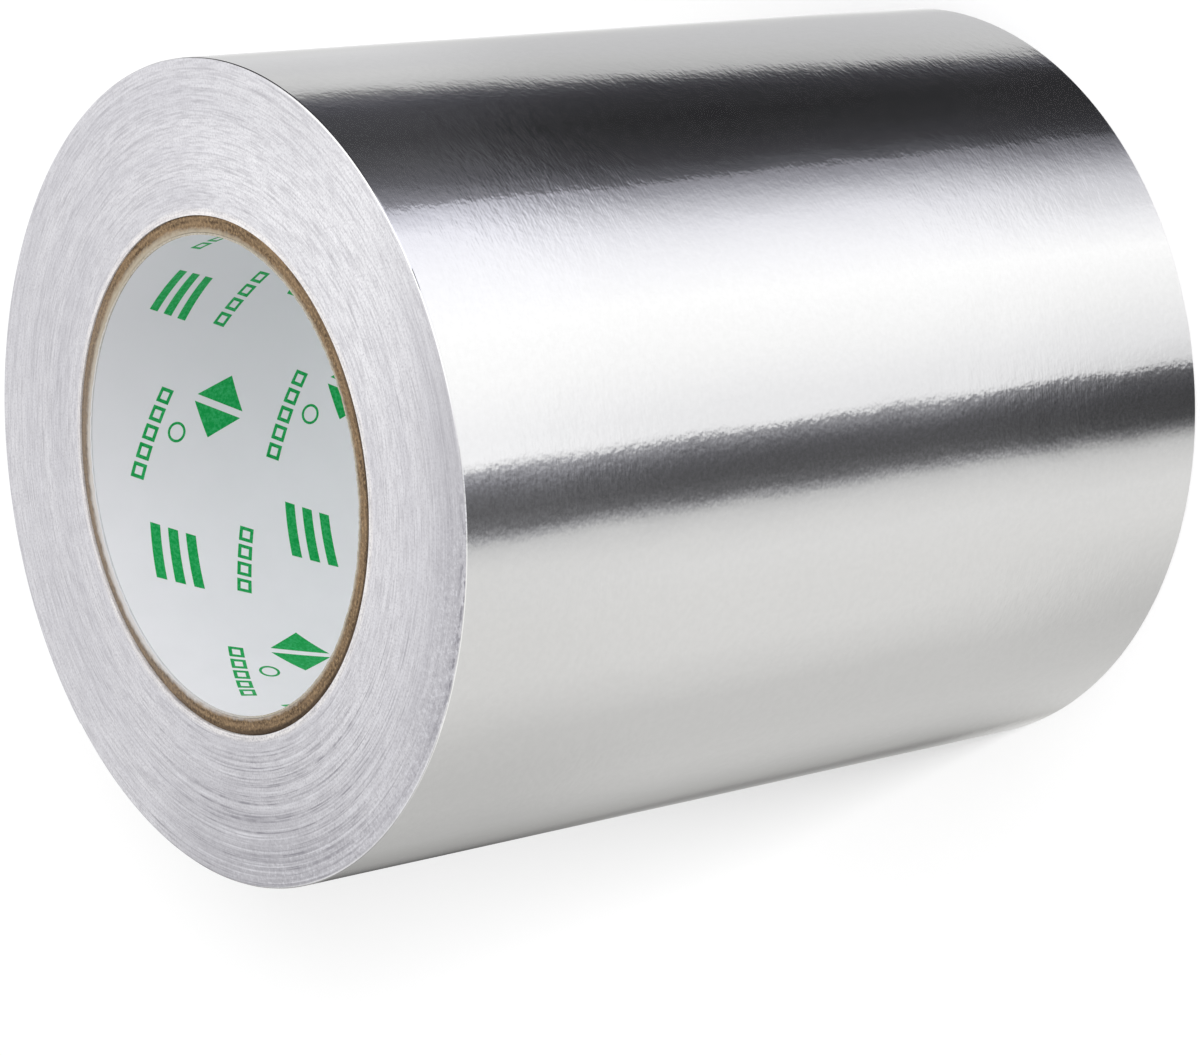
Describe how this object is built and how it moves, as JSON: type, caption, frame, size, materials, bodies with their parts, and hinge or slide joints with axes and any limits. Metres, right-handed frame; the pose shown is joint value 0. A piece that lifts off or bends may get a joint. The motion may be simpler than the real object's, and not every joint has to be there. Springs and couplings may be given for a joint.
{
  "type": "aluminium foil tape roll",
  "caption": "Wide roll of release-lined aluminium foil tape wound on a cardboard core whose bore is lined with white printed paper, standing on its end.",
  "frame": {"origin": "centre of the lower end face of the wound tape, on the roll's axis", "axes": "+Z along the roll's axis, up from the end it stands on; +X and +Y across the roll"},
  "size_m": [0.1313, 0.1314, 0.1524],
  "materials": {
    "foil_tape": "polished",
    "kraft_board": "matte",
    "white_paper": "matte",
    "green_print": "satin"
  },
  "bodies": {
    "root": {"wound_tape": "foil_tape", "cardboard_core": "kraft_board", "printed_liner": "white_paper"}
  },
  "joints": []
}
